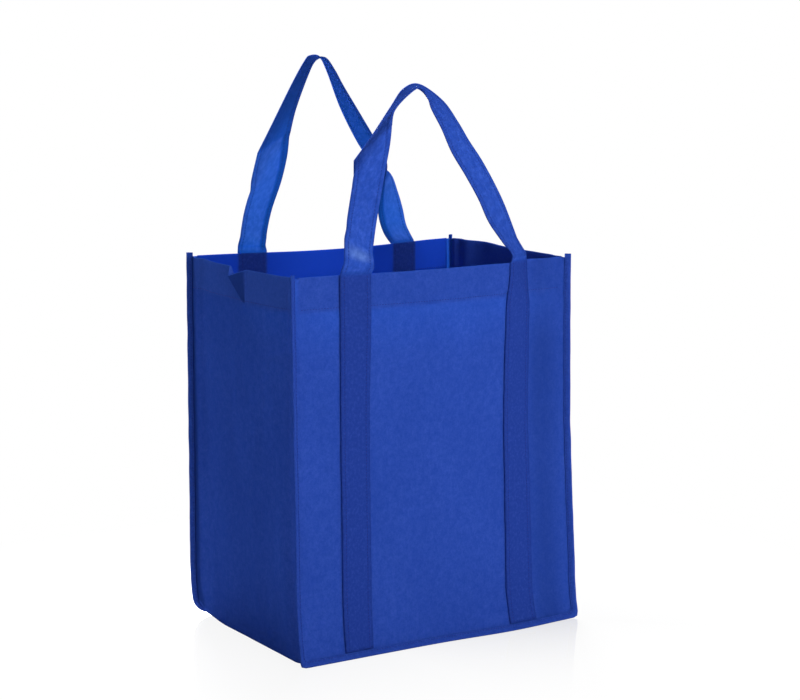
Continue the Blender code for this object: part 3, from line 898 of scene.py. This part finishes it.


# Each loop from its left foot to its right: across as a share of half the strap spacing, outward
# and up as shares of the rise, the way the strap's width points in plan in degrees, and how far its
# inner edge runs ahead of the outer one as a share of half the width; a station given twice is a
# sharp fold. "knuckles" are creased bulges of the strap above a foot: which foot, height, size,
# reach down and up, how dark the painted shade in the crease is and how pale the painted highlight
# on the pulled cloth over it. The painted crease shade fades over creaseReach, and the painted
# highlight lies paleUp over it and fades over paleReach
loops = {
    "spanSteps": 9,
    "creaseReach": 0.0022,
    "paleUp": 0.008,
    "paleReach": 0.0055,
    "knuckles": [
        ((-1, -1), 0.0115, 0.0060, 0.0115, 0.017, 0.55, 0.75),
        ((-1, 1), 0.0060, 0.0030, 0.0060, 0.014, 0.45, 0.00),
        ((1, -1), 0.0060, 0.0020, 0.0060, 0.010, 0.25, 0.10),
    ],
    "front": [
        (-1.00, 0.00, 0.00, 0, 0.0),
        (-1.00, 0.03, 0.15, 1, -0.4),
        (-0.98, 0.03, 0.21, 4, -0.3),
        (-0.93, 0.01, 0.31, 3, 0.2),
        (-0.80, -0.04, 0.51, 0, 0.7),
        (-0.75, -0.05, 0.62, -10, 1.1),
        (-0.70, -0.08, 0.71, -72, 1.15),
        (-0.70, -0.08, 0.71, -72, 1.15),
        (-0.54, -0.12, 0.81, -115, 0.6),
        (-0.30, -0.16, 0.93, -115, 0.0),
        (-0.11, -0.19, 1.00, -111, -0.3),
        (0.06, -0.21, 0.98, -135, -0.2),
        (0.24, -0.22, 0.90, -146, -0.5),
        (0.41, -0.23, 0.78, -153, -0.4),
        (0.54, -0.23, 0.66, -161, -0.2),
        (0.69, -0.21, 0.53, -165, 0.0),
        (0.82, -0.18, 0.39, -166, 0.1),
        (0.89, -0.13, 0.26, -168, 0.3),
        (0.97, -0.03, 0.08, -166, 0.1),
        (1.00, 0.00, 0.00, -180, 0.0),
    ],
    "back": [
        (-1.00, 0.00, 0.00, 0, 0.0),
        (-1.00, -0.01, 0.06, 10, 0.0),
        (-0.97, 0.00, 0.12, 12, 0.2),
        (-0.91, 0.01, 0.21, 8, 0.5),
        (-0.83, 0.01, 0.31, 1, 1.0),
        (-0.77, 0.01, 0.40, -7, 1.3),
        (-0.73, 0.02, 0.48, -48, 1.4),
        (-0.655, 0.04, 0.565, -66, 0.9),
        (-0.655, 0.04, 0.565, -66, 0.9),
        (-0.53, 0.05, 0.68, -88, 0.8),
        (-0.29, 0.06, 0.88, -100, 0.3),
        (-0.17, 0.05, 0.975, -103, 0.0),
        (-0.07, 0.05, 0.995, -108, 0.1),
        (0.04, 0.04, 0.96, -112, 0.3),
        (0.16, 0.05, 0.88, -104, 0.4),
        (0.37, 0.05, 0.70, -88, 0.2),
        (0.63, 0.05, 0.51, -83, 0.0),
        (0.78, 0.05, 0.42, -102, -0.1),
        (0.85, 0.05, 0.34, -140, 0.0),
        (0.89, 0.06, 0.25, -160, 0.0),
        (0.92, 0.06, 0.16, -179, 0.0),
        (0.965, 0.05, 0.07, -181, 0.0),
        (1.00, 0.00, 0.00, -180, 0.0),
    ],
}


def curveThrough(before, start, end, after, share):
    return 0.5 * (
        2 * start
        + (end - before) * share
        + (2 * before - 5 * start + 4 * end - after) * share ** 2
        + (3 * start - before - 3 * end + after) * share ** 3
    )


def rimTurn(x, y):
    # how many degrees the standing place turns a strap's width at the rim
    ends = [standingPlace(x + reach, y, bag["height"]) for reach in (-halfStrap, halfStrap)]
    along = ends[1] - ends[0]
    return math.degrees(math.atan2(along.y, along.x))


def loopMarks(side):
    # for each station: its place and its reach from the middle to the strap's inner edge
    stations = loops[labels[side]]
    rise = bag[labels[side] + "Rise"]
    wallY = side * (halfDepth + strapStandoff)
    foot = footAt(side)
    leftFoot = Vector((-foot, wallY, bag["height"]))
    rightFoot = Vector((foot, wallY, bag["height"]))
    leftMove = standingPlace(*leftFoot) - leftFoot
    rightMove = standingPlace(*rightFoot) - rightFoot
    places = []
    for across, out, up, _, _ in stations:
        place = Vector((across * foot, wallY + side * out * rise, bag["height"] + up * rise))
        places.append(place + leftMove.lerp(rightMove, (across + 1) / 2))
    marks = []
    for index, (across, _, up, heading, lead) in enumerate(stations):
        hold = max(0.0, 1 - up / bag["rimHold"])
        heading = math.radians(heading + hold * rimTurn(math.copysign(foot, across), wallY))
        width = Vector((math.cos(heading), math.sin(heading), 0.0))
        if up > 0:
            before = next(place for place in reversed(places[:index]) if place != places[index])
            after = next(place for place in places[index:] if place != places[index])
            tangent = (after - before).normalized()
            width = (width - tangent * width.dot(tangent)).normalized() + tangent * lead
        marks.append((places[index], width * halfStrap))
    return marks


def loopRows(side):
    # for each row of the free loop: its middle, its reach to the inner edge, and the way out
    rim = bag["height"] * stance["upStretch"]
    marks = loopMarks(side)
    padded = [marks[0]] + marks + [marks[-1]]
    samples = []
    for window in zip(padded, padded[1:], padded[2:], padded[3:]):
        if window[1][0] == window[2][0]:
            continue
        for share in spaced(0.0, 1.0, loops["spanSteps"])[:-1]:
            samples.append([curveThrough(*values, share) for values in zip(*window)])
    samples.append(marks[-1])
    rows = []
    for index in range(1, len(samples) - 1):
        middle, reach = samples[index]
        tangent = samples[index + 1][0] - samples[index - 1][0]
        outward = tangent.cross(reach).normalized() * side
        above = middle.z - rim
        push = sum(
            size * max(0.0, 1 - abs(above - height) / (down if above < height else up))
            for foot, height, size, down, up, _, _ in loops["knuckles"]
            if foot == (side, -1 if index < len(samples) / 2 else 1)
        )
        rows.append((middle + outward * push, reach / halfStrap, outward))
    return rows


def knuckleShade(side, leftLeg, above, share):
    # painted shade in a knuckle's crease and a painted highlight on the pulled cloth just over it
    shade = 0.0
    for foot, height, _, _, _, dark, pale in loops["knuckles"]:
        if foot == (side, -1 if leftLeg else 1):
            shade += dark * max(0.0, 1 - abs(above - height) / loops["creaseReach"])
            patch = bump(above, height + loops["paleUp"], loops["paleReach"])
            shade -= pale * patch * (1 - share ** 2)
    return shade


def strapShade(side, leftLeg, above, share):
    # the knuckles, and on the back strap painted light in the legs, painted shade on the inner hem
    # and more painted shade above the folds
    shade = knuckleShade(side, leftLeg, above, share)
    if side < 0:
        return shade
    fold = backLight["leftFold" if leftLeg else "rightFold"]
    lit = smoothStep((fold - above) / backLight["foldBlend"] + 0.5)
    hem = smoothStep((share - backLight["hemFrom"]) / backLight["hemBlend"])
    leg = hem * backLight["hem"] - (1 - hem) * backLight["legs"]
    tone = lit * leg + (1 - lit) * backLight["above"]
    return shade + tone * smoothStep(above / strapLook["rimBlend"])


def legLevels():
    foot = seamHeight + bag["strapFoot"]
    return spaced(foot, bag["height"], round((bag["height"] - foot) / strapLook["legStep"]))


def handleStrap(name, side):
    # sewn flat up the panel, over as a free loop, and down the panel again
    sheet = clothSheet()
    wallY = side * (halfDepth + strapStandoff)
    shares = spaced(-1.0, 1.0, strapLook["columns"])
    # the sewn legs get painted shade for the panel behind them
    sewn = strapLook[labels[side] + "Sewn"]

    def sewnLine(z, foot, way):
        places = [standingPlace(foot + way * share * halfStrap, wallY, z) for share in shares]
        return places, sewn, [0.0] * len(shares)

    lines = [sewnLine(z, -footAt(side), 1) for z in legLevels()]
    free = loopRows(side)
    for index, (middle, reach, _) in enumerate(free):
        above = middle.z - bag["height"] * stance["upStretch"]
        # that painted shade fades above the rim; the loop gets painted shade and light from its
        # folds
        layerShadeAndSheen = sewn * (1 - smoothStep(above / strapLook["rimBlend"]))
        strapPaintedShades = [strapShade(side, index < len(free) / 2, above, share) for share in shares]
        lines.append(([middle + reach * share * halfStrap for share in shares], layerShadeAndSheen, strapPaintedShades))
    lines += [sewnLine(z, footAt(side), -1) for z in reversed(legLevels())]
    rows = []
    run = 0.0
    before = lines[0][0][len(shares) // 2]
    for places, layerShadeAndSheen, strapPaintedShades in lines:
        middle = places[len(places) // 2]
        run += (middle - before).length
        before = middle
        rows.append([
            sheet.point(place, (share * halfStrap, run), layerShadeAndSheen, paintedShadeAndLight)
            for place, share, paintedShadeAndLight in zip(places, shares, strapPaintedShades)
        ])
    sheet.skin(rows, side < 0)
    return makePiece(name, sheet, strapCloth[side], bag["strapThickness"]), run


def stitchMesh(name, stitches):
    # every stitch is a small pointed bead of thread from start to end
    points = []
    faces = []
    sides = threadLook["sides"]
    for start, end, outward in stitches:
        along = end - start
        length = along.length
        if length < 1e-6:
            continue
        along /= length
        outward = (outward - along * outward.dot(along)).normalized()
        across = along.cross(outward)
        base = len(points)
        points.append(start)
        for share in (threadLook["taper"], 1 - threadLook["taper"]):
            for step in range(sides):
                angle = 2 * math.pi * step / sides
                offset = outward * math.cos(angle) + across * math.sin(angle)
                points.append(start + along * length * share + offset * threadLook["radius"])
        points.append(end)
        for step in range(sides):
            after = (step + 1) % sides
            near = base + 1
            far = near + sides
            faces.append((base, near + after, near + step))
            faces.append((near + step, near + after, far + after, far + step))
            faces.append((far + step, far + after, base + 1 + 2 * sides))
    mesh = bpy.data.meshes.new(name)
    mesh.from_pydata(points, [], faces)
    mesh.shade_smooth()
    mesh.materials.append(seamThread)
    return link(name, mesh)


def stitchesAlong(places, outwards):
    # stitches at an even pitch along a line of places
    lengths = [0.0]
    for first, second in zip(places, places[1:]):
        lengths.append(lengths[-1] + (second - first).length)
    stitches = []
    count = int(lengths[-1] / strapLook["stitchPitch"])
    segment = 0

    def at(distance):
        nonlocal segment
        while segment < len(places) - 2 and lengths[segment + 1] < distance:
            segment += 1
        span = max(1e-9, lengths[segment + 1] - lengths[segment])
        share = (distance - lengths[segment]) / span
        place = places[segment].lerp(places[segment + 1], share)
        return place, outwards[segment].lerp(outwards[segment + 1], share)

    for index in range(count):
        begin = (index + 0.5) * strapLook["stitchPitch"]
        start, outward = at(begin)
        end, _ = at(begin + threadLook["length"])
        stitches.append((start, end, outward))
    return stitches


def wallLine(side, spots, lift):
    # a line of places on a large face, lifted off its middle surface
    places = [standingPlace(x, side * (halfDepth + lift), z) for x, z in spots]
    return places, [Vector((0, side if lift > 0 else -side, 0)) for _ in spots]


def gussetLine(side, spots, lift):
    # the same on a side, following the popped fold
    places = []
    for y, z in spots:
        out, drop = popped(y, z) if side < 0 else (0.0, 0.0)
        places.append(standingPlace(side * (halfWidth + lift + out), y, z - drop))
    return places, [Vector((side if lift > 0 else -side, 0, 0)) for _ in spots]


def hemThreads(name, sides, line, halfSpan, gap, count):
    # the row that holds the hem, on the outside and on the turned-in layer
    reach = halfSpan - seamInset - bag["hemEndInset"] - 0.001
    spots = [(across, hemLine + threadLook["hemRow"]) for across in spaced(-reach, reach, count)]
    lift = bag["cloth"] / 2 + threadLook["lift"]
    stitches = []
    for side in sides:
        stitches += stitchesAlong(*line(side, spots, lift))
        stitches += stitchesAlong(*line(side, spots, -(bag["cloth"] + gap + lift)))
    return stitchMesh(name, stitches)


def tapeThreads(name, side):
    # one row near the tape's inner edge, on both of its faces
    stitches = []
    for sign in (1, -1):
        across = sign * (tapeOuter + threadLook["lift"])
        places = []
        outwards = []
        for (x, z), (nx, nz) in seamPath(division["tapeStep"]):
            places.append(tapePlace(x, z, nx, nz, side, threadLook["tapeRow"], across))
            outwards.append(Vector((-sign * nx, sign * side, -sign * nz)))
        stitches += stitchesAlong(places, outwards)
    return stitchMesh(name, stitches)


def strapThreads(name, side):
    # two rows along the strap: on both faces of the loop, and through the panel where it is sewn
    wallY = side * (halfDepth + strapStandoff)
    lift = bag["strapThickness"] / 2 + threadLook["lift"]
    panelInside = halfDepth - bag["cloth"] / 2 - threadLook["lift"]
    rows = loopRows(side)
    levels = legLevels()
    stitches = []
    for edge in (-1, 1):
        offset = edge * strapLook["seamAt"]
        for face in (1, -1):
            places = [middle + reach * offset + outward * lift * face
                      for middle, reach, outward in rows]
            stitches += stitchesAlong(places, [outward * face for _, _, outward in rows])
        for foot in (-footAt(side), footAt(side)):
            outside = [standingPlace(foot + offset, wallY + side * lift, z) for z in levels]
            stitches += stitchesAlong(outside, [Vector((0, side, 0))] * len(outside))
            inside = []
            for z in levels[:-1]:
                depth = panelInside - (pitch if z > hemLine - 0.0015 else 0.0)
                inside.append(standingPlace(foot + offset, side * depth, z))
            stitches += stitchesAlong(inside, [Vector((0, -side, 0))] * len(inside))
    return stitchMesh(name, stitches)


# Build every piece, attach it to the root body, and hide the solids that pieces replace


def dress(piece, nodes=()):
    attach(piece, "root")
    if nodes:
        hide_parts(*nodes)


for side, label in labels.items():
    dress(largePanel(label + "PanelCloth", side), [label + "_panel"])
print("large panels made")
dress(sideStrip("gussetStripCloth"), ["gusset_strip"])
print("side strip made")
for side, label in labels.items():
    dress(edgeTape(label + "EdgeTape", side), [label + "_binding"])
print("edge tapes made")
runs = {}
for side, label in labels.items():
    strap, runs[label] = handleStrap(label + "HandleStrap", side)
    dress(strap, [label + "_handle"])
print("handle straps made, lengths", *(round(run, 3) for run in runs.values()))

wallHem = (wallLine, halfWidth, bag["layerGap"], division["hemStitchSpots"])
sideHem = (gussetLine, halfDepth, bag["gussetHemGap"], division["gussetStitchSpots"])
for side, label in labels.items():
    dress(hemThreads(label + "HemThread", (side,), *wallHem))
dress(hemThreads("sideHemThread", (-1, 1), *sideHem))
for side, label in labels.items():
    dress(tapeThreads(label + "TapeThread", side))
for side, label in labels.items():
    dress(strapThreads(label + "StrapThread", side))
print("threads made")

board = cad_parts["base_board"]
board.data.materials.clear()
board.data.materials.append(boardPlastic)


# Floor, light and camera

studio = {
    "floorSize": 9.0,
    "floorDrop": 0.0004,
    "floorWhite": (0.86, 0.86, 0.87),
    "shadowShare": 0.025,
    "shadowReach": 0.40,
    "mirrorShare": 0.27,
    "mirrorLeft": 0.25,
    "mirrorFade": (-0.05, 0.17),
    "mirrorRough": 0.05,
    "mirrorReach": 0.26,
    "ambient": 0.20,
    # each box's place, what it aims at, its size and its power
    "boxes": {
        "keyBox": ((0.15, -2.60, 1.35), (0, 0, 0.25), (1.2, 1.5), 67),
        "fillBox": ((-2.3, -0.9, 1.1), (0, 0, 0.25), (1.4, 1.6), 1.0),
        "topBox": ((0.1, 0.2, 2.4), (0, 0, 0.3), (1.4, 1.4), 22),
        "backBox": ((0.95, 2.15, 0.75), (0, 0, 0.4), (1.2, 0.9), 315),
    },
}


def seenRays(tree):
    # 1 for rays that reach the camera straight, by a mirror or through something
    rays = addNode(tree, "ShaderNodeLightPath")
    seen = mathNode(tree, "MAXIMUM", rays.outputs["Is Camera Ray"], rays.outputs["Is Glossy Ray"])
    return mathNode(tree, "MAXIMUM", seen, rays.outputs["Is Transmission Ray"])


def floorMaterial():
    # white sweep that keeps a soft shadow, and a faint reflection that dies away from the bag
    made, tree, shader = newMaterial("whiteSweep")
    feed(tree, shader.inputs["Base Color"], studio["floorWhite"])
    feed(tree, shader.inputs["Roughness"], 0.6)
    shown = seenRays(tree)
    white = addNode(tree, "ShaderNodeEmission")
    feed(tree, white.inputs["Color"], (1.0, 1.0, 1.0))
    feed(tree, white.inputs["Strength"], 1.0)
    place = addNode(tree, "ShaderNodeTexCoord").outputs["Object"]
    parts = addNode(tree, "ShaderNodeSeparateXYZ")
    tree.links.new(place, parts.inputs[0])
    gapX = mathNode(tree, "SUBTRACT", mathNode(tree, "ABSOLUTE", parts.outputs[0]), halfWidth)
    gapY = mathNode(tree, "SUBTRACT", mathNode(tree, "ABSOLUTE", parts.outputs[1]), halfDepth)
    gap = mathNode(tree, "MAXIMUM", gapX, gapY)
    shadow = rangeNode(tree, gap, 0.0, studio["shadowReach"], studio["shadowShare"], 0.0)
    clear = mathNode(tree, "SUBTRACT", shown, times(tree, shown, shadow))
    shaded = mixShader(tree, clear, shader, white)
    mirror = addNode(tree, "ShaderNodeBsdfGlossy")
    feed(tree, mirror.inputs["Roughness"], studio["mirrorRough"])
    near = rangeNode(tree, gap, 0.0, studio["mirrorReach"], 1.0, 0.0)
    near = times(tree, times(tree, near, near), studio["mirrorShare"])
    toRight = rangeNode(tree, parts.outputs[0], *studio["mirrorFade"], studio["mirrorLeft"], 1.0)
    mixed = mixShader(tree, times(tree, near, toRight), shaded, mirror)
    tree.links.new(mixed.outputs[0], tree.nodes["Material Output"].inputs["Surface"])
    return made


half = studio["floorSize"] / 2
floorMesh = bpy.data.meshes.new("floor")
corners = [(-half, -half, 0), (half, -half, 0), (half, half, 0), (-half, half, 0)]
floorMesh.from_pydata(corners, [], [(0, 1, 2, 3)])
floorMesh.materials.append(floorMaterial())
floor = link("floor", floorMesh)
floor.location = (0, 0, -studio["floorDrop"])
floor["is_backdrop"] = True

world = bpy.data.worlds.new("studio")
bpy.context.scene.world = world
world.use_nodes = True
sky = world.node_tree
background = sky.nodes["Background"]
feed(sky, background.inputs["Color"], (1.0, 1.0, 1.0))
strength = times(sky, seenRays(sky), 1 - studio["ambient"])
strength = mathNode(sky, "ADD", strength, studio["ambient"])
sky.links.new(strength, background.inputs["Strength"])


def aimed(name, data, place, aim):
    # a lamp or camera at a place, turned to look at what it aims at
    made = link(name, data)
    made.location = place
    made.rotation_euler = (Vector(aim) - Vector(place)).to_track_quat("-Z", "Y").to_euler()
    return made


for name, (place, aim, size, power) in studio["boxes"].items():
    lamp = bpy.data.lights.new(name, "AREA")
    lamp.shape = "RECTANGLE"
    lamp.size, lamp.size_y = size
    lamp.energy = power
    aimed(name, lamp, place, aim).visible_camera = False

view = {
    "place": (-1.2108, -1.8938, 0.6461),
    "aim": (0.0229, 0.0024, 0.2839),
    "lens": 98.67,
    "sensor": 36.0,
    "near": 0.05,
    "far": 50,
}
camera = bpy.data.cameras.new("camera")
camera.lens = view["lens"]
camera.sensor_width = view["sensor"]
camera.clip_start = view["near"]
camera.clip_end = view["far"]
bpy.context.scene.camera = aimed("camera", camera, view["place"], view["aim"])
bpy.context.scene.view_settings.view_transform = "Standard"
print("floor, lights and camera made")

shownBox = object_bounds()
for label, box in (("solid box", cadBox), ("shown box", shownBox)):
    print(label, [round(high - low, 4) for low, high in zip(*box)])
